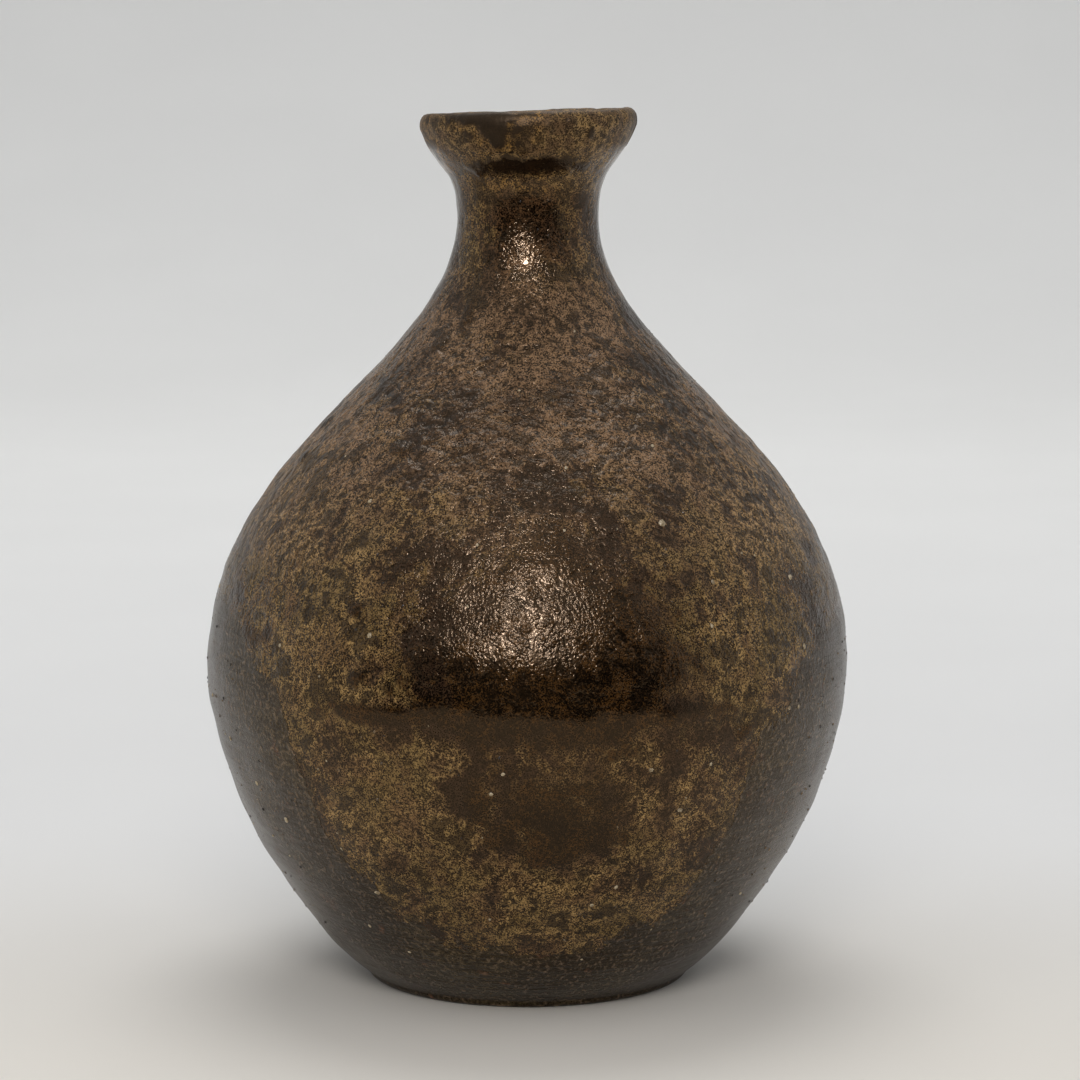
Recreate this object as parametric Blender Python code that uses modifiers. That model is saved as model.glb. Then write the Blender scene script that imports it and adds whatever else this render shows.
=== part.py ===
"""A wheel-thrown stoneware sake bottle: one hollow clay body and the ash glaze melted over it.

The bottle stands on Z = 0 with its axis on +Z. It is 140 mm tall and 104 mm across its belly, and
its mouth is open. Sizes are in metres.
"""

import math

import bpy
import numpy as np

MM = 0.001

# Driving dimensions.
HEIGHT = 140.0 * MM
BELLY_RADIUS = 52.1 * MM
BELLY_HEIGHT = 51.0 * MM
THROAT_RADIUS = 11.25 * MM
THROAT_HEIGHT = 124.3 * MM
LIP_RADIUS = 17.2 * MM
LIP_HEIGHT = 137.7 * MM
WALL = 4.4 * MM  # clay and glaze together, at the belly
NECK_WALL = 3.4 * MM
FLOOR_THICKNESS = 6.0 * MM

# The foot: a flat ring to stand on, round a shallow hollow. Its outer edge is rounded over.
FOOT_RING_OUTER = 25.4 * MM
FOOT_RING_INNER = 19.0 * MM
FOOT_HOLLOW_DEPTH = 0.9 * MM
FOOT_EDGE_ROUNDING = 1.0 * MM

# The glaze coat, and the play that keeps its solid clear of the clay.
GLAZE_THICKNESS = 0.5 * MM
GLAZE_GAP = 0.3 * MM
GLAZE_FOOT_HEIGHT = 8.5 * MM  # the coat ends this far above the table
GLAZE_MOUTH_DEPTH = 18.0 * MM  # and this far down inside the mouth
LEDGE_RUN = 0.8 * MM  # length of the slope where the clay steps in under the coat

TURN_STEPS = 40
POINTS_PER_SPAN = 2

# Stations (radius, height) up the outside, from the top of the foot's rounded edge to the lip.
OUTER_STATIONS = (
    (FOOT_RING_OUTER + FOOT_EDGE_ROUNDING, FOOT_EDGE_ROUNDING),
    (30.4 * MM, 4.2 * MM),
    (38.2 * MM, 14.0 * MM),
    (43.6 * MM, 22.4 * MM),
    (49.3 * MM, 35.6 * MM),
    (BELLY_RADIUS, BELLY_HEIGHT),
    (47.4 * MM, 71.2 * MM),
    (32.8 * MM, 91.0 * MM),
    (18.5 * MM, 106.4 * MM),
    (12.4 * MM, 116.9 * MM),
    (THROAT_RADIUS, THROAT_HEIGHT),
    (12.6 * MM, 130.0 * MM),
    (15.7 * MM, 134.4 * MM),
    (LIP_RADIUS, LIP_HEIGHT),
)

# The rounded top edge of the lip, from outside to inside.
RIM_STATIONS = (
    (LIP_RADIUS, LIP_HEIGHT),
    (16.9 * MM, HEIGHT - 0.6 * MM),
    (15.9 * MM, HEIGHT),
    (14.8 * MM, HEIGHT - 0.7 * MM),
)

# Stations down the inside, from the rim to the middle of the floor.
INNER_STATIONS = (
    (14.8 * MM, HEIGHT - 0.7 * MM),
    (12.9 * MM, 135.6 * MM),
    (9.4 * MM, 130.4 * MM),
    (THROAT_RADIUS - NECK_WALL, THROAT_HEIGHT),
    (8.9 * MM, 116.2 * MM),
    (15.2 * MM, 104.0 * MM),
    (29.6 * MM, 88.2 * MM),
    (43.5 * MM, 69.2 * MM),
    (BELLY_RADIUS - WALL, BELLY_HEIGHT),
    (45.1 * MM, 36.8 * MM),
    (39.2 * MM, 24.2 * MM),
    (31.2 * MM, 13.0 * MM),
    (20.0 * MM, FLOOR_THICKNESS + 0.9 * MM),
    (0.0, FLOOR_THICKNESS),
)


def clear_scene():
    for thing in list(bpy.data.objects):
        bpy.data.objects.remove(thing)


def smooth_line(stations, per_span):
    """Points on the natural cubic spline through the stations, per_span of them to each span."""
    points = np.array(stations, float)
    chord = np.hypot(*np.diff(points, axis=0).T)
    at = np.concatenate([[0.0], np.cumsum(chord)])
    count = len(points)
    system = np.eye(count)
    right = np.zeros((count, 2))
    for i in range(1, count - 1):
        before, after = chord[i - 1], chord[i]
        system[i, i - 1 : i + 2] = before, 2 * (before + after), after
        slopes = (points[i + 1] - points[i]) / after - (points[i] - points[i - 1]) / before
        right[i] = 6 * slopes
    bend = np.linalg.solve(system, right)
    line = []
    for i in range(count - 1):
        step = chord[i]
        for k in range(per_span):
            b = k * step / per_span
            a = step - b
            line.append(
                (bend[i] * a**3 + bend[i + 1] * b**3) / (6 * step)
                + (points[i] / step - bend[i] * step / 6) * a
                + (points[i + 1] / step - bend[i + 1] * step / 6) * b
            )
    line.append(points[-1])
    return np.array(line)


def foot_line():
    """The underside, from the middle of the hollow out over the standing ring and up its rounded edge."""
    hollow = [(0.0, FOOT_HOLLOW_DEPTH), (FOOT_RING_INNER - 2 * FOOT_HOLLOW_DEPTH, FOOT_HOLLOW_DEPTH)]
    ring = [(FOOT_RING_INNER, 0.0), (FOOT_RING_OUTER, 0.0)]
    turns = np.radians([30, 60])
    edge = [
        (
            FOOT_RING_OUTER + FOOT_EDGE_ROUNDING * math.sin(turn),
            FOOT_EDGE_ROUNDING * (1 - math.cos(turn)),
        )
        for turn in turns
    ]
    return np.array(hollow + ring + edge)


def skin_line():
    """The whole fired surface in section, from the middle of the floor inside to the middle of the foot."""
    inside = smooth_line(INNER_STATIONS, POINTS_PER_SPAN)[::-1]
    rim = smooth_line(RIM_STATIONS, POINTS_PER_SPAN)[::-1]
    outside = smooth_line(OUTER_STATIONS, POINTS_PER_SPAN)[::-1]
    return np.concatenate([inside[:-1], rim[:-1], outside, foot_line()[::-1]])


def run_along(line):
    """Distance along the line at each of its points."""
    return np.concatenate([[0.0], np.cumsum(np.hypot(*np.diff(line, axis=0).T))])


def into_clay(line):
    """Unit normals that point from the skin into the clay."""
    ahead = np.gradient(line, axis=0)
    turned = np.stack([-ahead[:, 1], ahead[:, 0]], axis=1)
    return -turned / np.hypot(*turned.T)[:, None]


def coat_ends(line):
    """Distances along the skin line at which the glaze starts, inside the mouth, and ends, above the foot."""
    along = run_along(line)
    top = int(np.argmax(line[:, 1]))
    start = np.interp(HEIGHT - GLAZE_MOUTH_DEPTH, line[: top + 1, 1], along[: top + 1])
    foot = len(line) - len(foot_line())
    end = np.interp(-GLAZE_FOOT_HEIGHT, -line[top:foot, 1], along[top:foot])
    return start, end


def with_points_at(line, places):
    """The line with a point added at each distance in places."""
    along = run_along(line)
    every = np.unique(np.concatenate([along, places]))
    every = every[np.concatenate([[True], np.diff(every) > 0.05 * MM])]
    return np.stack([np.interp(every, along, line[:, k]) for k in range(2)], axis=1)


def clay_line():
    """The section of the clay: the skin line, set in by the glaze and its gap wherever the coat lies."""
    skin = skin_line()
    start, end = coat_ends(skin)
    near, far = start - GLAZE_GAP, end + GLAZE_GAP
    line = with_points_at(skin, [near - LEDGE_RUN, near, far, far + LEDGE_RUN])
    along = run_along(line)
    share = np.interp(along, [near - LEDGE_RUN, near, far, far + LEDGE_RUN], [0, 1, 1, 0])
    depth = share * (GLAZE_THICKNESS + GLAZE_GAP)
    return line + into_clay(line) * depth[:, None]


def glaze_line():
    """The section of the coat: its outer face along the skin line, then back along its underside."""
    skin = skin_line()
    start, end = coat_ends(skin)
    line = with_points_at(skin, [start, end])
    along = run_along(line)
    normals = into_clay(line)
    held = (along > start - 0.01 * MM) & (along < end + 0.01 * MM)
    face = line[held]
    underside = face + normals[held] * GLAZE_THICKNESS
    return np.concatenate([face, underside[::-1]])


def turned(name, line, closed, collection, finish):
    """A solid made by turning a line of (radius, height) points once round Z."""
    corners = [(radius, 0.0, height) for radius, height in line]
    edges = [(i, i + 1) for i in range(len(corners) - 1)]
    if closed:
        edges.append((len(corners) - 1, 0))
    mesh = bpy.data.meshes.new(name)
    mesh.from_pydata(corners, edges, [])
    mesh.materials.append(finish)
    piece = bpy.data.objects.new(name, mesh)
    collection.objects.link(piece)
    screw = piece.modifiers.new("turn", "SCREW")
    screw.axis = "Z"
    screw.angle = math.tau
    screw.steps = TURN_STEPS
    screw.render_steps = TURN_STEPS
    screw.use_merge_vertices = True
    screw.merge_threshold = 0.01 * MM
    screw.use_smooth_shade = True
    return piece


def finish(name, colour, roughness, coat):
    material = bpy.data.materials.new(name)
    material.use_nodes = True
    shader = material.node_tree.nodes["Principled BSDF"]
    shader.inputs["Base Color"].default_value = (*colour, 1.0)
    shader.inputs["Roughness"].default_value = roughness
    shader.inputs["Metallic"].default_value = 0.0
    shader.inputs["Coat Weight"].default_value = coat
    return material


def build():
    clear_scene()
    bottle = bpy.data.collections.new("sake_bottle")
    bpy.context.scene.collection.children.link(bottle)
    stoneware = finish("iron_stoneware", (0.046, 0.033, 0.024), 0.55, 0.0)
    ash_glaze = finish("natural_ash_glaze", (0.072, 0.046, 0.023), 0.3, 0.3)
    turned("stoneware_body", clay_line(), False, bottle, stoneware)
    turned("ash_glaze_coat", glaze_line(), True, bottle, ash_glaze)


build()
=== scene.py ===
"""A wheel-thrown stoneware sake bottle with a natural ash glaze, standing on a pale table."""

import math

import bpy
import numpy as np
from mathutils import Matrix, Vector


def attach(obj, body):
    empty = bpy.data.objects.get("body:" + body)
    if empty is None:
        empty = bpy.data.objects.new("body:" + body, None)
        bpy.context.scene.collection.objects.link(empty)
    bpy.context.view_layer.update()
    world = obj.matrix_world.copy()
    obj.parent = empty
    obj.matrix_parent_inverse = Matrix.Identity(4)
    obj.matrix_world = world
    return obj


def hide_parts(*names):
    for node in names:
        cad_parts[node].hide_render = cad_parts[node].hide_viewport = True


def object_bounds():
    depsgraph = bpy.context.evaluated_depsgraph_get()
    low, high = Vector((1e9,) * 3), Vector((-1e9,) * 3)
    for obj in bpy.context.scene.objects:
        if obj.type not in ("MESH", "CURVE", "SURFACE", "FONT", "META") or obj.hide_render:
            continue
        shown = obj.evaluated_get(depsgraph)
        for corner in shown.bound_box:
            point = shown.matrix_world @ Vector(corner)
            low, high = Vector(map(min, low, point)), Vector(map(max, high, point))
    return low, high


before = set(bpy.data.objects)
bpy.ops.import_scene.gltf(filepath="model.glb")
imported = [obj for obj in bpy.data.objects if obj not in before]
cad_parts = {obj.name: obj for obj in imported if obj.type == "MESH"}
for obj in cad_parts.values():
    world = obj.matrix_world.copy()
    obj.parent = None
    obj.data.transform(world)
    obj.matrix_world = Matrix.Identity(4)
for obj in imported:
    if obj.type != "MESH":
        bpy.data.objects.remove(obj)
cad_box = [list(corner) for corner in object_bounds()]


# ---------------------------------------------------------------------------------------------
# The clay body: one pot thrown from iron-rich stoneware, its foot trimmed, its wall 3 to 5 mm
# thick above the foot, wood-fired until it went dark brown and almost glassy. It stands on a flat
# ring and carries the glaze, so only its foot, its underside and its inside show.
# ---------------------------------------------------------------------------------------------
MM = 0.001
HEIGHT = cad_box[1][2]
DRAWN_HEIGHT = 140.0  # the lines below are in mm, for a bottle this tall
LIKE_CAD = HEIGHT / (DRAWN_HEIGHT * MM)
FOOT_RING = (19.0, 25.4)  # the radii between which it stands
FOOT_ROUNDING = 1.0
FOOT_EDGE = (FOOT_RING[1] + FOOT_ROUNDING, FOOT_ROUNDING)
FOOT_CHAMFER = 0.4  # how far inside the ring's edges its flat part lies
FOOT_HOLLOW = 0.9
INSIDE_STATIONS = (
    (0.0, 6.0), (20.0, 6.9), (31.2, 13.0), (39.2, 24.2), (45.1, 36.8), (47.7, 51.0), (43.5, 69.2),
    (29.6, 88.2), (15.2, 104.0), (8.9, 116.2), (7.85, 124.3), (9.4, 130.4), (12.9, 135.6),
    (14.6, 139.4),
)
RIM_STATIONS = ((14.6, 139.4), (15.6, 140.0), (16.6, 139.8), (17.1, 139.0), (17.2, 137.7))
OUTSIDE_STATIONS = (
    (17.2, 137.7), (15.7, 134.4), (12.6, 130.0), (11.25, 124.3), (12.4, 116.9), (18.5, 106.4),
    (32.8, 91.0), (47.4, 71.2), (52.1, 51.0), (49.3, 35.6), (43.6, 22.4), (38.2, 14.0), (30.4, 4.2),
    FOOT_EDGE,
)
COAT = 0.45  # thickness of the glaze, in mm
COAT_FOOT = 8.6  # height in mm at which the glaze thins to nothing
MOUTH_END = 122.0  # height in mm down to which it reaches inside the mouth
MAKING_ROOM = (2.8, 5.0)  # mm from the glaze's edge over which the clay sinks to make room for it
COATED_INSIDE = 30  # points at the top of the inside line that may lie under the glaze
CLAY_COLUMNS = 256


def flowing_line(stations, count):
    """Natural cubic spline through the stations, read off at count equal steps of its length."""
    points = np.array(stations, float)
    gap = np.hypot(*np.diff(points, axis=0).T)
    at = np.concatenate([[0.0], np.cumsum(gap)])
    system = np.eye(len(points))
    right = np.zeros((len(points), 2))
    slope = np.diff(points, axis=0) / gap[:, None]
    for i in range(1, len(points) - 1):
        system[i, i - 1 : i + 2] = gap[i - 1], 2 * (gap[i - 1] + gap[i]), gap[i]
        right[i] = 6 * (slope[i] - slope[i - 1])
    bend = np.linalg.solve(system, right)
    where = np.linspace(0.0, at[-1], 40 * count)
    span = np.clip(np.searchsorted(at, where, side="right") - 1, 0, len(gap) - 1)
    step, b = gap[span][:, None], (where - at[span])[:, None]
    a = step - b
    line = (
        (bend[span] * a**3 + bend[span + 1] * b**3) / (6 * step)
        + (points[span] / step - bend[span] * step / 6) * a
        + (points[span + 1] / step - bend[span + 1] * step / 6) * b
    )
    return evenly(line, count)


def evenly(line, count):
    """The same line read off at count equal steps of its length."""
    along = np.concatenate([[0.0], np.cumsum(np.hypot(*np.diff(line, axis=0).T))])
    steps = np.linspace(0.0, along[-1], count)
    return np.stack([np.interp(steps, along, line[:, k]) for k in range(2)], axis=1)


def outward(line):
    """Unit normals of a line that runs down the outside: its direction turned a quarter."""
    ahead = np.gradient(line, axis=0)
    return np.stack([-ahead[:, 1], ahead[:, 0]], axis=1) / np.hypot(*ahead.T)[:, None]


def cloud(points, grain, seed):
    """Smooth noise from -1 to 1: random numbers on a lattice `grain` wide, faded from each to the
    next."""
    lattice = np.random.default_rng(seed).uniform(-1, 1, (32, 32, 32))
    place = points / grain + 1000.5
    cell = np.floor(place).astype(int)
    fade = place - cell
    fade = fade * fade * (3 - 2 * fade)
    total = np.zeros(points.shape[:-1])
    for corner in np.ndindex(2, 2, 2):
        weight = np.prod(np.where(corner, fade, 1 - fade), axis=-1)
        x, y, z = np.moveaxis((cell + corner) % 32, -1, 0)
        total += weight * lattice[x, y, z]
    return total


def ease(value, start, stop):
    """0 before start, 1 past stop, an S curve between."""
    share = np.clip((value - start) / (stop - start), 0, 1)
    return share * share * (3 - 2 * share)


def thrown_relief(azimuth, height, points):
    """How far, in mm, the fired pot stands out from its turned shape: two slow waves round it that
    leave it slightly out of round, the ridges of the thrower's fingers, and lumps in the clay. It
    fades out at the foot and is about half as strong at the neck."""
    out_of_round = 0.16 * np.sin(2 * azimuth + 0.9 + height / 60)
    out_of_round = out_of_round + 0.1 * np.sin(3 * azimuth + height / 37)
    ridges = 0.05 * np.sin(height / 1.15 + 0.5 * np.sin(azimuth) + 2.5 * cloud(points, 25, 3))
    lumps = 0.16 * cloud(points, 9, 4) + 0.07 * cloud(points, 3.4, 5)
    calm = ease(height, 0.3, 6.0)
    slender = 0.45 + 0.55 * ease(np.hypot(points[..., 0], points[..., 1]), 14, 34)
    return (out_of_round + ridges + lumps) * calm * slender


def sway(azimuth, height):
    """How far, in mm, the mouth rises and dips: it is highest on one side, and waves a little."""
    tilt = 0.3 + 0.45 * np.sin(azimuth) + 0.5 * np.cos(azimuth) + 0.07 * np.sin(5 * azimuth + 1)
    return tilt * ease(height, 122, 139)


def turned(line, columns, inset):
    """The line (radius, height in mm) carried round the axis, then pushed along its normals by the
    relief less the inset, and swayed at the mouth. Gives rows x columns x 3, azimuth 0 at the
    front."""
    azimuth = np.linspace(0, 2 * math.pi, columns, endpoint=False)[None, :]
    radius, height = line[:, 0, None], line[:, 1, None]
    normal = outward(line)
    round_x, round_y = np.sin(azimuth), -np.cos(azimuth)
    points = np.stack([radius * round_x, radius * round_y, height + 0 * azimuth], axis=-1)
    push = thrown_relief(azimuth, height, points) - inset
    radius = radius + push * normal[:, 0, None]
    height = height + push * normal[:, 1, None] + sway(azimuth, height)
    return np.stack([radius * round_x, radius * round_y, height], axis=-1)


def mesh_of(name, grid, wrap_rows, poles):
    """A mesh on a rows x columns grid of points that closes round its columns. wrap_rows joins the last
    row to the first; poles draws the first and the last row together into single points."""
    rows, columns = grid.shape[:2]
    index = np.arange(rows * columns).reshape(rows, columns)
    above = index if wrap_rows else index[:-1]
    below = np.roll(index, -1, axis=0) if wrap_rows else index[1:]
    beside = lambda block: np.roll(block, -1, axis=1)
    quads = np.stack([above, below, beside(below), beside(above)], axis=-1).reshape(-1, 4)
    corners = grid.reshape(-1, 3)
    if poles:
        quads = quads[columns:-columns]
        first, last = columns, rows * columns - 2 * columns
        ring = np.arange(columns)
        tips = np.stack([corners[:columns].mean(0), corners[-columns:].mean(0)])
        top = np.stack([0 * ring, 2 + ring, 2 + (ring + 1) % columns], axis=-1)
        base = 2 + last - first
        bottom = np.stack([0 * ring + 1, base + (ring + 1) % columns, base + ring], axis=-1)
        corners = np.concatenate([tips, corners[columns:-columns]])
        quads = quads - columns + 2
        faces = quads.tolist() + top.tolist() + bottom.tolist()
    else:
        faces = quads.tolist()
    mesh = bpy.data.meshes.new(name)
    mesh.from_pydata((corners * MM * LIKE_CAD).tolist(), [], faces)
    mesh.shade_smooth()
    return mesh


def piece_of(mesh):
    """The mesh as an object of the scene, at the origin, unturned and unscaled."""
    piece = bpy.data.objects.new(mesh.name, mesh)
    bpy.context.scene.collection.objects.link(piece)
    return piece


def paint(mesh, name, values):
    """Stores one number a point, which the material reads by name."""
    stored = mesh.attributes.new(name, "FLOAT", "POINT")
    stored.data.foreach_set("value", values.ravel().astype(np.float32))


def linear(hex_colour):
    """sRGB hex to linear red, green, blue and alpha."""
    parts = [int(hex_colour[i : i + 2], 16) / 255 for i in (1, 3, 5)]
    return [p / 12.92 if p <= 0.04045 else ((p + 0.055) / 1.055) ** 2.4 for p in parts] + [1.0]


def node(tree, kind, settings=None, **inputs):
    """Adds a node, sets its properties, and sets or links each input by its name, with _ for a space.
    An input given as name_0, name_1 and so on is the socket of that number."""
    made = tree.nodes.new(kind)
    for key, value in (settings or {}).items():
        setattr(made, key, value)
    for key, value in inputs.items():
        stem, _, number = key.rpartition("_")
        socket = made.inputs[int(number)] if number.isdigit() else made.inputs[key.replace("_", " ")]
        if isinstance(value, bpy.types.NodeSocket):
            tree.links.new(value, socket)
        else:
            socket.default_value = value
    return made


def new_material(name):
    """A material with nothing but a Principled shader on its output."""
    material = bpy.data.materials.new(name)
    material.use_nodes = True
    tree = material.node_tree
    tree.nodes.clear()
    output = tree.nodes.new("ShaderNodeOutputMaterial")
    shader = tree.nodes.new("ShaderNodeBsdfPrincipled")
    tree.links.new(shader.outputs["BSDF"], output.inputs["Surface"])
    return material, tree, shader


def blend(tree, share, one, other):
    """Colour mixed from one to the other as share goes from 0 to 1."""
    made = node(tree, "ShaderNodeMix", {"data_type": "RGBA"}, Factor_0=share, A_6=one, B_7=other)
    return made.outputs[2]


def curve(tree, value, low, high, to_low=0.0, to_high=1.0):
    """value eased from the range low..high onto to_low..to_high."""
    made = node(
        tree, "ShaderNodeMapRange", {"interpolation_type": "SMOOTHSTEP"},
        Value=value, From_Min=low, From_Max=high, To_Min=to_low, To_Max=to_high,
    )
    return made.outputs[0]


def sums(tree, operation, one, other):
    """One number made from two by the named operation."""
    return node(tree, "ShaderNodeMath", {"operation": operation}, x_0=one, x_1=other).outputs[0]


def grains(tree, place, size_mm, detail=2.0, rough=0.55, warp=0.0):
    """Cloudy noise whose blobs are about size_mm wide."""
    made = node(
        tree, "ShaderNodeTexNoise", {"noise_dimensions": "3D"},
        Vector=place, Scale=0.5 / (size_mm * MM), Detail=detail, Roughness=rough, Distortion=warp,
    )
    return made.outputs["Fac"]


def dots(tree, place, spacing_mm, radius_mm, share):
    """Masks of 1 inside soft-edged dots: one in each cell about spacing_mm wide, less those that the
    cell's own random number rules out so that only the given share of the cells has one."""
    cells = node(tree, "ShaderNodeTexVoronoi", Vector=place, Scale=1 / (spacing_mm * MM))
    reach = radius_mm / spacing_mm
    near = curve(tree, cells.outputs["Distance"], 1.3 * reach, 0.7 * reach)
    luck = node(tree, "ShaderNodeSeparateColor", Color=cells.outputs["Color"]).outputs[0]
    return sums(tree, "MULTIPLY", near, sums(tree, "LESS_THAN", luck, share))


def dimmed(tree, colour, scale):
    """The colour times a number."""
    made = node(tree, "ShaderNodeVectorMath", {"operation": "SCALE"}, Vector=colour, Scale=scale)
    return made.outputs[0]


# Iron-rich stoneware, wood-fired: the iron turns it chocolate brown, and flying ash leaves a thin
# satin seal on it. Sand in the clay makes it dry to the touch and lightly pitted.
FIRED_CLAY = linear("#2b2416")
FIRED_CLAY_DARK = linear("#17120b")
SANDY_CLAY = linear("#54463a")
RUST = linear("#45291a")
CLAY_GLOSS = 0.27  # roughness of the ash-sealed clay
WARM_GLOSS = (1.0, 0.69, 0.42, 1.0)  # iron near the surface warms what it mirrors
GLASS_IOR = 1.47
CLAY_RISE = 0.26 * MM  # height of its grain


def clay_look(tree, place):
    """Colour and height of bare clay: brown, clouded over centimetres, marked by the turning wheel in
    faint level lines, flecked with sand over tenths of a mm, and with rust and pits over millimetres,
    the pits painted darker for the shade in them."""
    level = node(tree, "ShaderNodeMapping", Vector=place, Scale=(0.08, 0.08, 1.0)).outputs[0]
    lines = grains(tree, level, 0.6, 3.0, 0.6)
    sand = grains(tree, place, 0.35, 3.0, 0.7)
    cloudy = sums(tree, "ADD", grains(tree, place, 9.0), sums(tree, "MULTIPLY", lines, 0.6))
    base = blend(tree, curve(tree, cloudy, 0.6, 1.0), FIRED_CLAY, FIRED_CLAY_DARK)
    base = blend(tree, curve(tree, sand, 0.52, 0.7, 0.0, 0.6), base, SANDY_CLAY)
    base = blend(tree, curve(tree, grains(tree, place, 1.6, 2.0), 0.62, 0.72, 0.0, 0.5), base, RUST)
    shaded_pits = dots(tree, place, 2.0, 0.25, 0.5)
    sand_light = curve(tree, sand, 0.34, 0.66, 0.1, 2.2)
    base = dimmed(tree, base, sums(tree, "SUBTRACT", sand_light, sums(tree, "MULTIPLY", shaded_pits, 0.4)))
    rise = sums(tree, "ADD", sums(tree, "MULTIPLY", sand, 0.6), lines)
    return base, sums(tree, "SUBTRACT", rise, shaded_pits)


inner = flowing_line(INSIDE_STATIONS, 96)
rim = flowing_line(RIM_STATIONS, 14)
outer = flowing_line(OUTSIDE_STATIONS, 150)
edge_turn = np.radians(np.linspace(80, 0, 6))
foot_edge = FOOT_ROUNDING * np.stack([np.sin(edge_turn), 1 - np.cos(edge_turn)], axis=1)
foot_edge = foot_edge + (FOOT_RING[1], 0.0)
ring = np.linspace(FOOT_RING[1] - FOOT_CHAMFER, FOOT_RING[0] + FOOT_CHAMFER, 10)
ring = np.stack([ring, 0 * ring], axis=1)
hollow = np.array([(0.0, 0.0), (-0.7, 0.35), (-1.8, FOOT_HOLLOW)]) + (FOOT_RING[0], 0.0)
underside = np.linspace(FOOT_RING[0] - 2.2, 0, 40)
underside = np.stack([underside, np.full(40, FOOT_HOLLOW)], axis=1)
clay_line = np.concatenate([inner[:-1], rim[:-1], outer, foot_edge, ring, hollow, underside])

outside_start = len(inner) - 1 + len(rim) - 1
may_be_coated = np.zeros(len(clay_line), bool)
may_be_coated[len(inner) - COATED_INSIDE : outside_start + len(outer)] = True
in_mouth = np.arange(len(clay_line)) < len(inner)
coat_end = np.where(in_mouth, MOUTH_END, COAT_FOOT)
coat_share = ease(clay_line[:, 1], coat_end + MAKING_ROOM[0], coat_end + MAKING_ROOM[1])
coat_share = np.where(may_be_coated, coat_share, 0.0)

clay_grid = turned(clay_line, CLAY_COLUMNS, inset=(coat_share * COAT)[:, None])
clay_body = piece_of(mesh_of("clay_body", clay_grid, wrap_rows=False, poles=True))

stoneware, tree, shader = new_material("iron_rich_stoneware")
place = node(tree, "ShaderNodeTexCoord").outputs["Object"]
bare, rise = clay_look(tree, place)
tree.links.new(bare, shader.inputs["Base Color"])
shader.inputs["Roughness"].default_value = CLAY_GLOSS
bump = node(tree, "ShaderNodeBump", Height=rise, Strength=1.0, Distance=CLAY_RISE)
tree.links.new(bump.outputs[0], shader.inputs["Normal"])
shader.inputs["Specular Tint"].default_value = WARM_GLOSS
shader.inputs["IOR"].default_value = GLASS_IOR
clay_body.data.materials.append(stoneware)
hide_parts("stoneware_body")
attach(clay_body, "root")


# ---------------------------------------------------------------------------------------------
# The ash glaze: wood ash that flew through the kiln, settled on the side that faced the fire and
# melted with the clay into a thin brown glass. Where it lay thickest it ran down the front in one
# dark tongue; round that it broke up into olive and gold freckles; on the flanks it never built up.
# ---------------------------------------------------------------------------------------------
GLAZE_COLUMNS = 400
GLAZE_ROWS = 206
LIP_ROWS = 72  # those of them that are over and inside the lip, where they lie closer
LIP_FOOT = 127.0  # height in mm at which the lip's rows begin
GLAZE_BACK_ROWS = 36
EDGE_FADE = 3.0  # mm over which its edge rises out of the clay, and then again to its full relief
EDGE_SINK = 0.3  # how far its edge lies inside the turned line, in mm
BACK_SINK = 0.8 * COAT  # how far its back does: just clear of the clay where that has made room
TONGUE_RISE = 0.2  # how far the tongue stands out, in mm
ASH_RISE = 0.05  # how far the rest of the ash does
TONGUE_AZIMUTH = 5.0  # degrees round from the front
TONGUE_WIDTHS = (  # (height in mm, half width in degrees)
    (20, -20), (27.5, -4), (29, 4), (32, 9), (38, 11), (44, 14), (50, 21), (60, 23), (66, 19),
    (72, 10), (80, -2), (90, -12), (140, -12),
)
THIN_GLASS = (44.5, 5.5)  # height in mm and half height of the band where the tongue is thin
# Most of these are iron stains. The two wide ones at 132 mm, under the lip's flare, are painted shade and
# reflection, and the two wide ones at 51.3 mm are painted reflection of the dark room, carried round the
# belly.
BLOTCHES_AND_PAINTED_SHADE = (  # (azimuth in degrees, height in mm, half width, half height, greatest depth)
    (-24, 139.2, 20, 1.2, 1.0), (-18, 137.8, 8, 2.0, 0.9), (-17, 136.0, 4, 1.6, 0.6),
    (-3, 137.2, 6, 1.3, 0.1), (-2, 135.2, 4, 1.7, 0.1), (-2, 132.0, 47, 1.5, 0.9),
    (2, 132.2, 43, 1.3, 0.9), (96, 137, 8, 3, 0.8), (12, 137.4, 2.5, 0.8, 0.2),
    (36, 136.6, 3, 1.0, 0.7), (-33, 136.4, 3, 0.9, 0.1), (24, 138.3, 3, 0.7, 0.4),
    (150, 136, 14, 4, 0.8), (-120, 138, 9, 2.5, 0.8), (40.2, 47, 1.9, 1.3, 1.0),
    (-43, 104.6, 4, 2.0, 0.2), (-34, 108.3, 3.5, 1.8, 0.2), (-34.7, 89.6, 4, 1.2, 0.3),
    (-31.6, 66.3, 1.6, 1.3, 0.6), (-29.8, 56.5, 1.9, 1.2, 0.6), (-15.2, 52.9, 5, 1.8, 0.7),
    (-9, 38.5, 2.4, 4.5, 0.6), (-4.3, 33.1, 3.2, 3.0, 0.9), (14.9, 68.5, 5, 3.5, 0.6),
    (24.6, 58.1, 4.5, 3.0, 0.5), (-80, 91, 2.5, 0.9, 0.7), (-73.3, 86, 2.5, 0.9, 0.7),
    (-57, 60, 4, 1.2, 0.2), (-23, 51.3, 13, 1.5, 0.5), (27, 51.3, 11, 1.5, 0.4),
    (5, 30.5, 5.5, 2.8, 1.0), (13, 34, 3.0, 4.5, 0.4),
)
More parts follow.
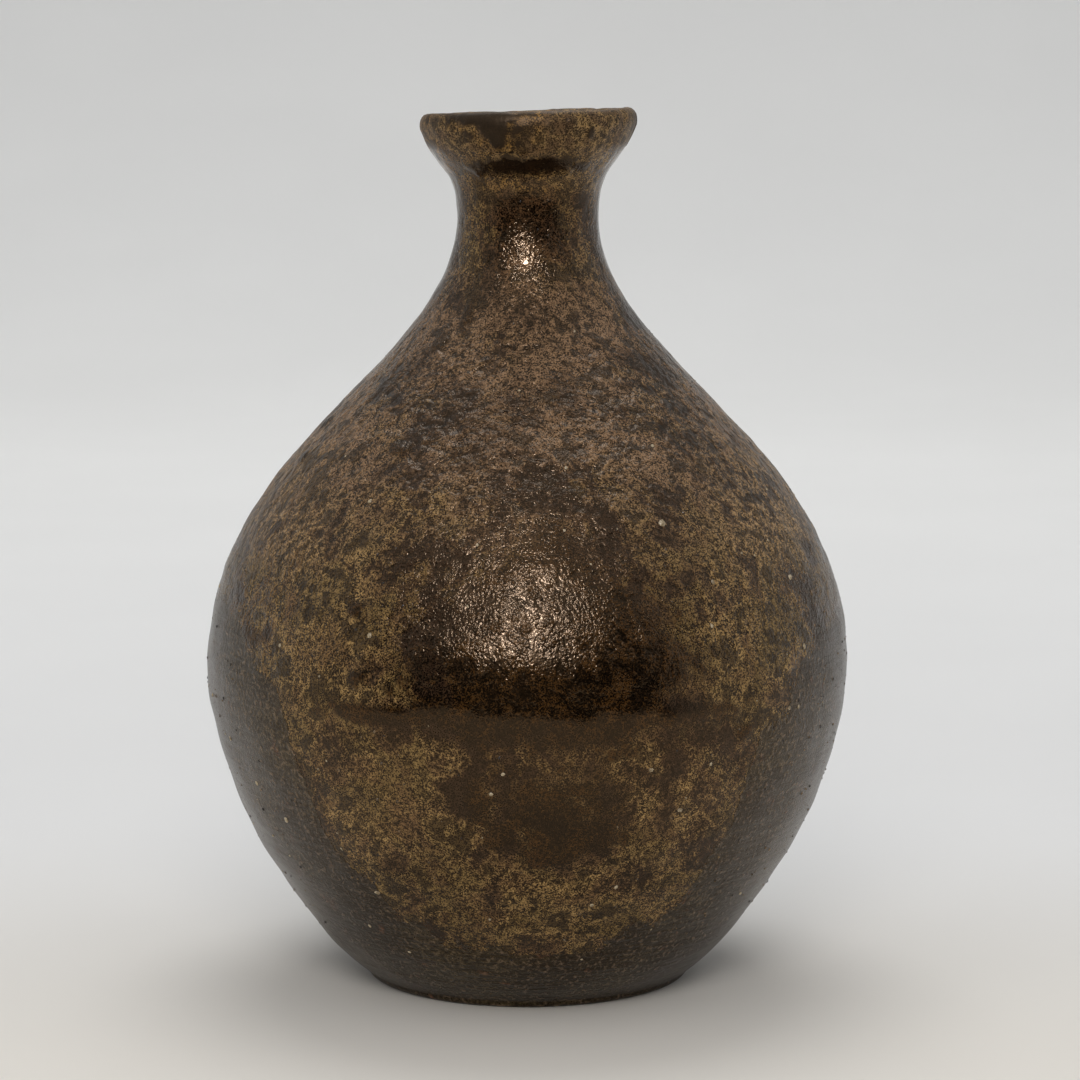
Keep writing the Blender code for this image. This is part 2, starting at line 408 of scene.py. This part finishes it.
GOLD_PLACES = (  # (azimuth in degrees, height in mm, half width, half height, strength)
    (-48, 92, 16, 7, 0.6), (-62, 84, 12, 8, 0.8), (-72, 94, 14, 8, 0.8), (42, 95, 12, 6, 0.4),
    (-20, 104, 14, 5, 0.35), (-38, 62, 19, 13, 1.0), (-22, 82, 12, 6, 0.5), (20, 84, 10, 6, 0.4),
    (-55, 70, 14, 10, 0.7), (-30, 78, 16, 8, 0.55), (45, 62, 16, 11, 1.0), (38, 76, 16, 8, 0.6),
    (62, 72, 12, 9, 0.6), (5, 20, 30, 9, 0.95), (-27, 36, 13, 10, 1.1), (-17, 44, 8, 5, 0.7),
    (29, 35, 9, 10, 0.65), (30, 138, 25, 3, 1.0), (75, 137, 22, 4, 0.9), (-45, 136, 30, 4, 0.75),
    (-48, 116, 20, 9, 0.5), (48, 116, 20, 9, 0.6), (0, 134.5, 200, 5, 0.8), (5, 45, 16, 6, 0.35),
    (-17, 36, 9, 8, 0.85), (5, 41, 14, 5, 0.45), (-110, 78, 26, 12, 0.9), (170, 70, 40, 12, 0.8),
    (115, 80, 24, 12, 0.7), (-145, 72, 20, 10, 0.6),
)
ASH_FOOT = (  # (azimuth in degrees, height in mm) along the lower edge of the ash
    (-180, 62), (-150, 56), (-120, 64), (-90, 61), (-75, 63), (-60, 59), (-48, 52), (-43, 42), (-41, 30),
    (-30, 18), (-15, 12), (3, 10), (20, 13), (35, 21), (41, 33), (44, 45), (54, 55), (68, 60), (90, 58),
    (120, 64), (150, 57), (180, 62),
)


def reading(pairs, at):
    """The height of the broken line through the pairs."""
    x, y = np.array(pairs, float).T
    return np.interp(at, x, y)


def run_tongue(azimuth, height, points):
    """How deep a point lies inside the tongue, from -1 well outside to 1 well inside: the tongue's half
    width at that height less the distance from its middle, in steps of 10 degrees, with a wavy edge.
    A bell-shaped share is taken off it in the band where the glass is thin."""
    half = reading(TONGUE_WIDTHS, height)
    uneven = 4.5 * cloud(points, 5, 11) + 1.5 * cloud(points, 1.8, 12)
    depth = (half - np.abs(azimuth - TONGUE_AZIMUTH) + uneven) / 10
    thin = 0.6 * np.exp(-(((height - THIN_GLASS[0]) / THIN_GLASS[1]) ** 2))
    return np.clip(depth, -1, 1 - thin) - 0.8 * thin


def iron_blotches_and_painted_shade(azimuth, height, points):
    """The same depth for the dark blotches on the lip and elsewhere: 1 less the distance from each
    one's middle in its own half widths, with a wavy edge, times 1.4. It is cut off at the blotch's
    own greatest depth, and the deepest blotch counts. Most blotches are iron stains; the wide ones
    under the lip's flare and round the belly at 51 mm are painted shade and reflection."""
    depth = np.full(points.shape[:-1], -1.0)
    for middle, level, wide, tall, deepest in BLOTCHES_AND_PAINTED_SHADE:
        aside = (azimuth - middle + 180) % 360 - 180
        away = np.hypot(aside / wide, (height - level) / tall) + 0.25 * cloud(points, 1.4, 16)
        depth = np.maximum(depth, np.clip(1.4 * (1 - away), -1, deepest))
    return depth


def ash_cover(azimuth, height, points):
    """1 where ash melted, 0 where the clay is almost bare: eased over 7 mm of height across the ash's
    lower edge, which noise makes uneven."""
    uneven = 4.0 * cloud(points, 9, 13) + 2.5 * cloud(points, 3, 14)
    return ease(height - reading(ASH_FOOT, azimuth) + uneven, -3.5, 3.5)


def gold_cover(azimuth, height, points):
    """How golden the ash went: the strongest of the bell-shaped places listed, with its sides moved by
    noise, less up to 0.7 on the front of the neck: painted shade there for the dark that the neck
    mirrors."""
    cover = np.zeros(points.shape[:-1])
    for middle, level, wide, tall, strength in GOLD_PLACES:
        aside = (azimuth - middle + 180) % 360 - 180 + 5 * cloud(points, 7, 15)
        bell = np.exp(-((aside / wide) ** 2) - ((height - level) / tall) ** 2)
        cover = np.maximum(cover, strength * bell)
    painted_neck_shade = ease(height, 110, 117) * ease(height, 129, 127) * np.exp(-((azimuth / 32) ** 2))
    return cover - 0.7 * painted_neck_shade


mouth = flowing_line(INSIDE_STATIONS, 400)
mouth = mouth[mouth[:, 1] > MOUTH_END]
skin = flowing_line(OUTSIDE_STATIONS, 900)
skin = skin[skin[:, 1] > COAT_FOOT]
over_lip = np.concatenate([mouth[:-1], rim[:-1], skin[skin[:, 1] > LIP_FOOT]])
below_lip = np.concatenate([over_lip[-1:], skin[skin[:, 1] <= LIP_FOOT]])
lower_rows = GLAZE_ROWS - LIP_ROWS + 1
face_line = np.concatenate([evenly(over_lip, LIP_ROWS)[:-1], evenly(below_lip, lower_rows)])
back_line = evenly(face_line, GLAZE_BACK_ROWS)

azimuth = np.linspace(0, 2 * math.pi, GLAZE_COLUMNS, endpoint=False)[None, :]
degrees = (np.degrees(azimuth) + 180) % 360 - 180
face_height = face_line[:, 1, None] + 0 * azimuth
face_radius = face_line[:, 0, None]
plain = np.stack([face_radius * np.sin(azimuth), -face_radius * np.cos(azimuth), face_height], axis=-1)
is_face_out = (np.arange(GLAZE_ROWS) > np.argmax(face_line[:, 1]))[:, None]
dark_glass_and_painted_shade = run_tongue(degrees, face_height, plain)
dark_glass_and_painted_shade = np.maximum(dark_glass_and_painted_shade, iron_blotches_and_painted_shade(degrees, face_height, plain))
dark_glass_and_painted_shade = np.where(is_face_out, dark_glass_and_painted_shade, -1.0)
gold = gold_cover(degrees, face_height, plain)
ash = ash_cover(degrees, face_height, plain)
ash = np.where(is_face_out, ash, 1.0)

ends = np.where(is_face_out[:, 0], COAT_FOOT, MOUTH_END)
risen = ease(face_line[:, 1], ends, ends + EDGE_FADE)[:, None]
full = ease(face_line[:, 1], ends + EDGE_FADE, ends + 2 * EDGE_FADE)[:, None]
lumpy = 0.06 * cloud(plain, 1.7, 21) + 0.04 * cloud(plain, 0.9, 22)
swell = TONGUE_RISE * ease(dark_glass_and_painted_shade, -0.15, 0.35) + (ASH_RISE + lumpy) * ash
face_grid = turned(face_line, GLAZE_COLUMNS, inset=EDGE_SINK * (1 - risen) - swell * full)
back_grid = turned(back_line, GLAZE_COLUMNS, inset=BACK_SINK)[::-1]
glaze_mesh = mesh_of("ash_glaze", np.concatenate([face_grid, back_grid]), wrap_rows=True, poles=False)
backing = np.zeros((GLAZE_BACK_ROWS, GLAZE_COLUMNS))
paint(glaze_mesh, "dark_glass_and_painted_shade", np.concatenate([dark_glass_and_painted_shade, backing]))
paint(glaze_mesh, "ash", np.concatenate([ash, backing]))
paint(glaze_mesh, "gold", np.concatenate([gold, backing]))
ash_glaze = piece_of(glaze_mesh)

# Natural ash glaze: an iron-brown glass, almost black where it ran thick, and clouded olive and gold
# with fine crystals where it lay thin. It cooled slowly, so its skin is crinkled like leather.
GLASS_BLACK_AND_SHADE = linear("#0b0603")
GLASS_AMBER_AND_SHADE = linear("#271808")
GOLD = linear("#493821")
PALE_GOLD = linear("#6c5736")
OLIVE = linear("#3d311a")
UMBER = linear("#1a110b")
RUSSET = linear("#332315")
TAWNY = linear("#4b3824")
VEIL_AND_SHEEN = linear("#5a4634")
CRUST = linear("#765f42")
LIP_BROWN = linear("#3b2c1c")
LIP_TAN = linear("#614e31")
LIP_ORANGE = linear("#5f451f")
GLASS_GLOSS = 0.16  # roughness of the clear glass in the tongue
NECK_GLOSS = 0.14
LIP_GLOSS = 0.5  # the lip's upper edge is nearly matt

glaze, tree, shader = new_material("natural_ash_glaze")
place = node(tree, "ShaderNodeTexCoord").outputs["Object"]
glass_and_shade_depth = node(tree, "ShaderNodeAttribute", {"attribute_name": "dark_glass_and_painted_shade"}).outputs["Fac"]
ash_share = node(tree, "ShaderNodeAttribute", {"attribute_name": "ash"}).outputs["Fac"]
gold_share = node(tree, "ShaderNodeAttribute", {"attribute_name": "gold"}).outputs["Fac"]
axes = node(tree, "ShaderNodeSeparateXYZ", Vector=place)
height = axes.outputs["Z"]

grain = grains(tree, place, 0.12, 1.0, 0.7)
fine = grains(tree, place, 0.33, 2.0, 0.6)
lump = grains(tree, place, 0.95, 1.0, 0.5, 0.3)
freckle = grains(tree, place, 1.1, 3.0, 0.6, 0.3)
blotch = grains(tree, place, 2.2, 2.0, 0.6, 0.4)
patch = grains(tree, place, 4.5, 3.0, 0.55, 0.3)
drift = grains(tree, place, 11.0, 2.0, 0.5, 0.3)
shaded_pits = dots(tree, place, 2.4, 0.3, 0.6)


def mixture(*shares):
    """The sum of noises less 0.5, each times its share."""
    total = None
    for noise, share in shares:
        part = sums(tree, "MULTIPLY", sums(tree, "SUBTRACT", noise, 0.5), share)
        total = part if total is None else sums(tree, "ADD", total, part)
    return total


def choice(share, one, other):
    """A number mixed from one to the other as share goes from 0 to 1."""
    made = node(tree, "ShaderNodeMix", {"data_type": "FLOAT"}, Factor_0=share, A_2=one, B_3=other)
    return made.outputs[0]


def by_height(low, high, at_low=0.0, at_high=1.0):
    """A number eased from at_low to at_high between two heights in mm."""
    return curve(tree, height, low * MM, high * MM, at_low, at_high)


speckle = mixture((drift, 0.8), (patch, 1.2), (blotch, 1.0), (freckle, 0.5), (fine, 0.35), (grain, 0.3))
golden = sums(tree, "ADD", speckle, sums(tree, "MULTIPLY", gold_share, 0.42))
golden = curve(tree, golden, -0.04, 0.38)
ground = blend(tree, curve(tree, speckle, -0.25, 0.2), UMBER, RUSSET)
broad = mixture((drift, 1.2), (patch, 1.6), (freckle, 1.2), (fine, 0.6))
broad = sums(tree, "ADD", gold_share, broad)
ground = blend(tree, curve(tree, broad, 0.1, 0.75), ground, TAWNY)
crystals = mixture((blotch, 1.2), (fine, 0.7), (grain, 0.7))
ashy = blend(tree, curve(tree, crystals, -0.1, 0.3), GOLD, PALE_GOLD)
ashy = blend(tree, curve(tree, patch, 0.45, 0.6, 0.0, 0.6), ashy, OLIVE)
gilded = blend(tree, golden, ground, ashy)

# A thin veil lies on the shoulder, partly unmelted ash and partly painted sheen of the light from above,
# and a dry crust on its left and right sides.
haze_and_sheen = mixture((drift, 1.3), (patch, 1.8), (freckle, 0.9), (fine, 0.7))
on_shoulder = sums(tree, "MULTIPLY", by_height(70, 90, 0.0, 0.9), by_height(120, 108))
haze_and_sheen = sums(tree, "MULTIPLY", on_shoulder, curve(tree, haze_and_sheen, -0.35, 0.3))
gilded = blend(tree, haze_and_sheen, gilded, VEIL_AND_SHEEN)
aside = sums(tree, "ABSOLUTE", axes.outputs["X"], 0.0)
aside = curve(tree, aside, 22 * MM, 38 * MM)
dry_side = sums(tree, "MULTIPLY", aside, by_height(66, 78))
crusted = curve(tree, mixture((blotch, 1.2), (freckle, 1.2), (fine, 0.8)), -0.15, 0.2, 0.05, 0.85)
gilded = blend(tree, sums(tree, "MULTIPLY", dry_side, crusted), gilded, CRUST)

# The lip is a paler, drier brown, and small black stains and pits are scattered over everything; the pits
# are painted black for the shade in them.
stained = mixture((blotch, 0.8), (freckle, 0.8), (drift, 0.4))
stained = sums(tree, "MAXIMUM", curve(tree, stained, 0.05, 0.16, 0.0, 0.8), shaded_pits)
lip_mottle = mixture((blotch, 1.0), (freckle, 1.2))
lip_tone = blend(tree, curve(tree, lip_mottle, -0.2, 0.2), LIP_BROWN, LIP_TAN)
lip_flush = mixture((patch, 1.0), (freckle, 0.8), (drift, 0.5))
lip_tone = blend(tree, curve(tree, lip_flush, -0.05, 0.2), lip_tone, LIP_ORANGE)
# From 127 mm up the lip's tone also covers the ring just under its flare, where it is partly painted
# reflection of the table.
gilded = blend(tree, by_height(127, 130, 0.0, 0.85), gilded, lip_tone)
gilded = blend(tree, stained, gilded, GLASS_BLACK_AND_SHADE)

# The tongue and the blotches are glass over all that, with painted shade and reflection in some of the
# blotches, and beyond the ash's edge the clay is bare.
edge = sums(tree, "ADD", sums(tree, "SUBTRACT", ash_share, 0.5), mixture((freckle, 1.2), (fine, 0.8)))
covered = curve(tree, edge, -0.1, 0.15)
bare, rise = clay_look(tree, place)
amber = mixture((patch, 0.6), (blotch, 0.7), (freckle, 0.5), (fine, 0.8), (grain, 0.8))
amber = sums(tree, "MULTIPLY", curve(tree, amber, -0.15, 0.3), by_height(128, 134, 1.0, 0.0))
glass_and_shade = blend(tree, amber, GLASS_BLACK_AND_SHADE, GLASS_AMBER_AND_SHADE)
in_glass_and_shade = mixture((drift, 0.8), (patch, 1.5), (freckle, 2.2), (fine, 1.5))
in_glass_and_shade = curve(tree, sums(tree, "ADD", glass_and_shade_depth, in_glass_and_shade), -0.45, 0.5)
colour = blend(tree, in_glass_and_shade, gilded, glass_and_shade)
salt = curve(tree, mixture((grain, 2.3), (fine, 1.0), (lump, 0.5)), -0.3, 0.33, 0.0, 2.7)
colour = blend(tree, covered, bare, dimmed(tree, colour, salt))
tree.links.new(colour, shader.inputs["Base Color"])

# Gloss: the more gold in it the duller, and duller again above the belly and on the dry sides. The
# neck shines, and the lip's edge is nearly matt.
dulled = sums(tree, "ADD", speckle, sums(tree, "MULTIPLY", gold_share, 0.3))
rough = choice(in_glass_and_shade, curve(tree, dulled, -0.2, 0.4, 0.17, 0.24), GLASS_GLOSS)
rough = sums(tree, "ADD", rough, by_height(56, 66, 0.0, 0.03))
rough = sums(tree, "ADD", rough, sums(tree, "MULTIPLY", dry_side, 0.14))
rough = choice(by_height(110, 118), rough, NECK_GLOSS)
rough = choice(by_height(133.5, 136), rough, LIP_GLOSS)
tree.links.new(choice(covered, CLAY_GLOSS, rough), shader.inputs["Roughness"])
shader.inputs["IOR"].default_value = GLASS_IOR
shader.inputs["Specular Tint"].default_value = WARM_GLOSS

# Relief, in mm: a fine crinkle that comes and goes in patches, lumps on the shoulder and the sides,
# and pits. All of it is calmer below the belly and from the neck up.
crinkle = grains(tree, place, 0.19, 1.0, 0.5)
smooth_low = by_height(50, 64, 0.15, 1.0)
smooth_neck = by_height(128, 118, 0.3, 1.0)
patchy = curve(tree, mixture((freckle, 1.0), (fine, 0.4)), -0.22, 0.32, 0.12, 1.95)
skin_height = sums(tree, "MULTIPLY", sums(tree, "MULTIPLY", crinkle, 0.12), patchy)
skin_height = sums(tree, "ADD", skin_height, sums(tree, "MULTIPLY", fine, 0.03))
lumpy_up = sums(tree, "MULTIPLY", by_height(68, 92, 0.06, 0.75), by_height(112, 100, 0.1, 1.0))
lumpy_up = sums(tree, "ADD", lumpy_up, sums(tree, "MULTIPLY", aside, 0.25))
skin_height = sums(tree, "ADD", skin_height, sums(tree, "MULTIPLY", lump, lumpy_up))
side_grain = sums(tree, "MULTIPLY", fine, sums(tree, "MULTIPLY", aside, 0.16))
skin_height = sums(tree, "ADD", skin_height, side_grain)
skin_height = sums(tree, "SUBTRACT", skin_height, sums(tree, "MULTIPLY", shaded_pits, 0.04))
skin_height = sums(tree, "MULTIPLY", skin_height, sums(tree, "MULTIPLY", smooth_low, smooth_neck))
skin_height = choice(covered, sums(tree, "MULTIPLY", rise, CLAY_RISE / MM), skin_height)
bump = node(tree, "ShaderNodeBump", Height=skin_height, Strength=1.0, Distance=MM)
tree.links.new(bump.outputs[0], shader.inputs["Normal"])
glaze_mesh.materials.append(glaze)
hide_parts("ash_glaze_coat")
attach(ash_glaze, "root")


# ---------------------------------------------------------------------------------------------
# Grit: sand in the clay and crumbs from the kiln that stand up through the glaze. Most are dark and
# glazed over; the grains of feldspar melted to white beads.
# ---------------------------------------------------------------------------------------------
GRIT_COUNT = 2600
GRIT_SPAN = (9, 128)  # lowest and highest, in mm
FELDSPAR_COUNT = 150
FELDSPAR_SPAN = (10, 110)
GRIT_BROWN = linear("#1a1008")
GRIT_TAN = linear("#7a6242")
BEAD_CREAM = linear("#b3a386")
BEAD_STAINED = linear("#7d6c50")
FELDSPAR_PLACES = (  # (azimuth in degrees, height in mm, radius in mm)
    (28.8, 79.2, 0.65), (-33, 21, 0.6), (-52.5, 31, 0.55), (28, 36, 0.5), (21.5, 43, 0.45),
    (58.5, 69, 0.55), (57, 58.5, 0.5), (-28, 63, 0.5), (34, 64, 0.45), (-8, 18, 0.4),
    (-4, 43, 0.4), (-60, 36, 0.45),
)
PEBBLE_RINGS = ((0.75, 0.65), (1.0, 0.0), (0.75, -0.6))  # (radius, height)
SIXTHS = np.radians(range(0, 360, 60))
PEBBLE = np.array(  # a ball of 20 points: a tip at each end and three rings of six between them
    [(0, 0, 1)]
    + [(math.cos(t) * r, math.sin(t) * r, z) for r, z in PEBBLE_RINGS for t in SIXTHS]
    + [(0, 0, -1)]
)


def pebble_faces():
    """Faces of the ball: a fan of triangles at each tip, and bands of quads between the rings."""
    ring = lambda k, j: 1 + 6 * k + j % 6
    faces = [(0, ring(0, j), ring(0, j + 1)) for j in range(6)]
    for k in range(2):
        faces += [(ring(k, j), ring(k + 1, j), ring(k + 1, j + 1), ring(k, j + 1)) for j in range(6)]
    last = len(PEBBLE) - 1
    return faces + [(last, ring(2, j + 1), ring(2, j)) for j in range(6)]


def scattered(name, azimuths, heights, radii, sink, seed):
    """One mesh of many rough pebbles sunk into the glaze: the ball scaled, knocked out of round and
    carried to its place on the skin, with its short side along the skin's normal."""
    dice = np.random.default_rng(seed)
    skin_radius = np.interp(heights, skin[::-1, 1], skin[::-1, 0])
    normal = outward(skin)
    lean = np.stack([np.interp(heights, skin[::-1, 1], normal[::-1, k]) for k in range(2)], axis=1)
    turn = np.radians(azimuths)
    around = np.stack([np.cos(turn), np.sin(turn), 0 * turn], axis=1)
    out = np.stack([np.sin(turn) * lean[:, 0], -np.cos(turn) * lean[:, 0], lean[:, 1]], axis=1)
    up = np.cross(out, around)
    centre = np.stack([np.sin(turn) * skin_radius, -np.cos(turn) * skin_radius, heights], axis=1)
    push = thrown_relief(turn, heights, centre) - sink * radii
    centre = centre + push[:, None] * out
    centre[:, 2] += sway(turn, heights)
    shape = PEBBLE[None] * (1 + 0.22 * dice.uniform(-1, 1, (len(turn), len(PEBBLE), 1)))
    length = dice.uniform(0.8, 1.3, len(turn))
    width = dice.uniform(0.8, 1.3, len(turn))
    shape = shape * np.stack([length, width, 0.7 + 0 * turn], axis=1)[:, None]
    points = centre[:, None] + radii[:, None, None] * (
        shape[..., 0:1] * around[:, None] + shape[..., 1:2] * up[:, None] + shape[..., 2:3] * out[:, None]
    )
    starts = range(0, len(turn) * len(PEBBLE), len(PEBBLE))
    faces = [tuple(start + c for c in face) for start in starts for face in pebble_faces()]
    mesh = bpy.data.meshes.new(name)
    mesh.from_pydata((points.reshape(-1, 3) * MM * LIKE_CAD).tolist(), [], faces)
    mesh.shade_smooth()
    return piece_of(mesh)


def spread(count, seed, lowest, highest):
    """Azimuths and heights thrown evenly over the skin between two heights: every azimuth is as
    likely as another, and a height is the likelier the wider the bottle is there."""
    dice = np.random.default_rng(seed)
    line = skin[(skin[:, 1] > lowest) & (skin[:, 1] < highest)]
    weight = line[:, 0] / line[:, 0].sum()
    return dice.uniform(-180, 180, count), dice.choice(line[:, 1], count, p=weight)


grit_azimuth, grit_height = spread(GRIT_COUNT, 31, *GRIT_SPAN)
grit_radius = 0.07 + 0.2 * np.random.default_rng(32).uniform(0, 1, GRIT_COUNT) ** 3
glazed_grit = scattered("glazed_grit", grit_azimuth, grit_height, grit_radius, 0.1, 33)
bead_azimuth, bead_height = spread(FELDSPAR_COUNT, 34, *FELDSPAR_SPAN)
bead_radius = 0.2 + 0.25 * np.random.default_rng(35).uniform(0, 1, FELDSPAR_COUNT) ** 2
named = np.array(FELDSPAR_PLACES)
feldspar_beads = scattered(
    "feldspar_beads", np.append(bead_azimuth, named[:, 0]), np.append(bead_height, named[:, 1]),
    np.append(bead_radius, named[:, 2]), 0.25, 36,
)

# Sand glazed over: iron brown like the glass round it, tan on some grains, and nearly as glossy.
dark_grit, tree, shader = new_material("glazed_sand")
place = node(tree, "ShaderNodeTexCoord").outputs["Object"]
tone = blend(tree, curve(tree, grains(tree, place, 0.8), 0.42, 0.62), GRIT_BROWN, GRIT_TAN)
tree.links.new(tone, shader.inputs["Base Color"])
shader.inputs["Roughness"].default_value = 0.2
glazed_grit.data.materials.append(dark_grit)

# Feldspar: a white mineral that half melts at this heat into milky beads, stained by the ash.
feldspar, tree, shader = new_material("melted_feldspar")
place = node(tree, "ShaderNodeTexCoord").outputs["Object"]
tone = blend(tree, curve(tree, grains(tree, place, 0.3), 0.4, 0.6), BEAD_CREAM, BEAD_STAINED)
tree.links.new(tone, shader.inputs["Base Color"])
shader.inputs["Roughness"].default_value = 0.35
feldspar_beads.data.materials.append(feldspar)
for grit_piece in (glazed_grit, feldspar_beads):
    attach(grit_piece, "root")


# ---------------------------------------------------------------------------------------------
# The table and backdrop: white paper that lies flat under the bottle and curves up behind it. Its
# apron carries it on under the camera, and is seen by the camera but not mirrored in the glaze.
# ---------------------------------------------------------------------------------------------
TABLE_FRONT = 0.315  # how far in front of the bottle the apron begins
APRON_REACH = 4.0
SWEEP_REACH = 1.5
SWEEP_TURN = 0.7  # radius of its curve
SWEEP_TOP = 3.0
SWEEP_HALF = 3.0  # half its width
PAPER_PAINTED_SHADE = linear("#e1ddd5")
PAPER_GREY = linear("#e3e3e2")
PAPER_PAINTED_LIGHT = linear("#f4f4f2")


def sheet_of(name, corners_y_z, half_width):
    """A strip: a line in Y and Z carried from -half_width to half_width along X."""
    line = np.array(corners_y_z)
    sides = np.array([-half_width, half_width])
    corners = np.stack(
        [np.tile(sides, len(line)), np.repeat(line[:, 0], 2), np.repeat(line[:, 1], 2)], axis=-1
    )
    faces = [(2 * i, 2 * i + 1, 2 * i + 3, 2 * i + 2) for i in range(len(line) - 1)]
    mesh = bpy.data.meshes.new(name)
    mesh.from_pydata(corners.tolist(), [], faces)
    mesh.shade_smooth()
    return piece_of(mesh)


turn = np.radians(np.linspace(0, 90, 24))
bend_start = SWEEP_REACH - SWEEP_TURN
sweep_line = [(-TABLE_FRONT, 0.0), (0.0, 0.0), (bend_start, 0.0)]
sweep_line += [
    (bend_start + SWEEP_TURN * math.sin(t), SWEEP_TURN * (1 - math.cos(t))) for t in turn[1:]
]
sweep_line += [(SWEEP_REACH, SWEEP_TOP)]
sweep = sheet_of("sweep", sweep_line, SWEEP_HALF)
apron = sheet_of("apron", [(-APRON_REACH, 0.0), (-TABLE_FRONT, 0.0)], SWEEP_HALF)
apron.visible_glossy = False

paper, tree, shader = new_material("white_paper")
place = node(tree, "ShaderNodeTexCoord").outputs["Object"]
depth = node(tree, "ShaderNodeSeparateXYZ", Vector=place).outputs["Y"]
# The paper is painted darker and warmer towards the camera, as shade, and lighter up the sweep behind, as
# light on the wall.
near = blend(tree, curve(tree, depth, -0.08, 0.12), PAPER_PAINTED_SHADE, PAPER_GREY)
tone = blend(tree, curve(tree, depth, 0.1, 0.8), near, PAPER_PAINTED_LIGHT)
tone = dimmed(tree, tone, curve(tree, grains(tree, place, 60.0), 0.3, 0.7, 0.98, 1.0))
tree.links.new(tone, shader.inputs["Base Color"])
shader.inputs["Roughness"].default_value = 0.8
for stage_piece in (sweep, apron):
    stage_piece.data.materials.append(paper)


# ---------------------------------------------------------------------------------------------
# Light: a white tent, dark where it opens towards the camera, and a wide lamp overhead. Above the
# camera hangs one soft lamp, made of three: a core and a halo that only the mirror of the glaze
# shows, and a fill that lights but isn't mirrored. A faint glow in the tent rings them.
# ---------------------------------------------------------------------------------------------
MIDDLE = (0.0, 0.0, 0.5 * HEIGHT)
FRONT_LAMP = (-0.024, -0.62, 0.418)
LAMP_WAY = np.array(FRONT_LAMP) - MIDDLE
LAMP_WAY = tuple(LAMP_WAY / np.linalg.norm(LAMP_WAY))
TENT_WHITE = (0.66, 0.67, 0.69, 1.0)
TENT_OPENING = (0.01, 0.008, 0.006, 1.0)
GLOW_COLOUR = (1.0, 0.86, 0.7)
GLOW_STRENGTH = 4.2
GLOW_FALL = 0.0006  # the share of it left one radian from the lamp; a tenth is left at 18 degrees
BACKDROP = linear("#d8d9d9")  # seen by the camera past the paper's edges

world = bpy.data.worlds.new("tent")
bpy.context.scene.world = world
world.use_nodes = True
tree = world.node_tree
tree.nodes.clear()
direction = node(tree, "ShaderNodeTexCoord").outputs["Generated"]
parts = node(tree, "ShaderNodeSeparateXYZ", Vector=direction)
front = curve(tree, parts.outputs["Y"], -0.35, -0.75)
low_down = curve(tree, parts.outputs["Z"], 0.85, 0.3)
opening = sums(tree, "MULTIPLY", front, low_down)
plain_tent = blend(tree, opening, TENT_WHITE, TENT_OPENING)
toward_lamp = node(
    tree, "ShaderNodeVectorMath", {"operation": "DOT_PRODUCT"}, x_0=direction, x_1=LAMP_WAY
)
angle = sums(tree, "ARCCOSINE", toward_lamp.outputs["Value"], 0.0)
glow = sums(tree, "MULTIPLY", sums(tree, "POWER", GLOW_FALL, angle), GLOW_STRENGTH)
glow = dimmed(tree, GLOW_COLOUR, glow)
glowing = node(tree, "ShaderNodeVectorMath", {"operation": "ADD"}, x_0=plain_tent, x_1=glow)
glowing = glowing.outputs[0]
path_kind = node(tree, "ShaderNodeLightPath")
# A ray that bounced off something matt meets the tent without its glow. Light that is sampled
# straight from the tent still has it.
colour = blend(tree, path_kind.outputs["Is Diffuse Ray"], glowing, plain_tent)
colour = blend(tree, path_kind.outputs["Is Camera Ray"], colour, BACKDROP)
background = node(tree, "ShaderNodeBackground", Color=colour, Strength=1.0)
output = tree.nodes.new("ShaderNodeOutputWorld")
tree.links.new(background.outputs[0], output.inputs["Surface"])


def lamp(name, place, aim, size, watts, colour):
    """A round soft light at a place, turned to face the aim."""
    data = bpy.data.lights.new(name, "AREA")
    data.shape = "DISK"
    data.size = size
    data.energy = watts
    data.color = linear(colour)[:3]
    made = bpy.data.objects.new(name, data)
    bpy.context.scene.collection.objects.link(made)
    made.location = place
    away = np.array(place) - np.array(aim)
    made.rotation_euler = (math.acos(away[2] / np.linalg.norm(away)), 0, math.atan2(away[0], -away[1]))
    return made


lamp("overhead", (0.0, 0.45, 1.1), MIDDLE, 0.8, 4.7, "#ffffff")
core = lamp("front_lamp", FRONT_LAMP, MIDDLE, 0.06, 2.8, "#dee6fc")
halo = lamp("front_halo", FRONT_LAMP, MIDDLE, 0.2, 0.5, "#fff0dc")
core.visible_diffuse = False
halo.visible_diffuse = False
fill = lamp("front_fill", FRONT_LAMP, MIDDLE, 0.3, 1.55, "#fffaf4")
fill.visible_glossy = False


# ---------------------------------------------------------------------------------------------
# Camera: a long lens about 0.6 m in front of the bottle and a little higher than its lip, looking
# slightly down.
# ---------------------------------------------------------------------------------------------
LENS_MM = 133.3
SENSOR_MM = 36.0
CAMERA_PLACE = (0.0020, -0.642, 0.1651)
LOOKING_DOWN = 8.33  # degrees

camera_data = bpy.data.cameras.new("camera")
camera_data.lens = LENS_MM
camera_data.sensor_width = SENSOR_MM
camera_data.clip_start = 0.01
camera = bpy.data.objects.new("camera", camera_data)
bpy.context.scene.collection.objects.link(camera)
camera.location = CAMERA_PLACE
camera.rotation_euler = (math.radians(90 - LOOKING_DOWN), 0, 0)
bpy.context.scene.camera = camera
bpy.context.scene.view_settings.view_transform = "Standard"
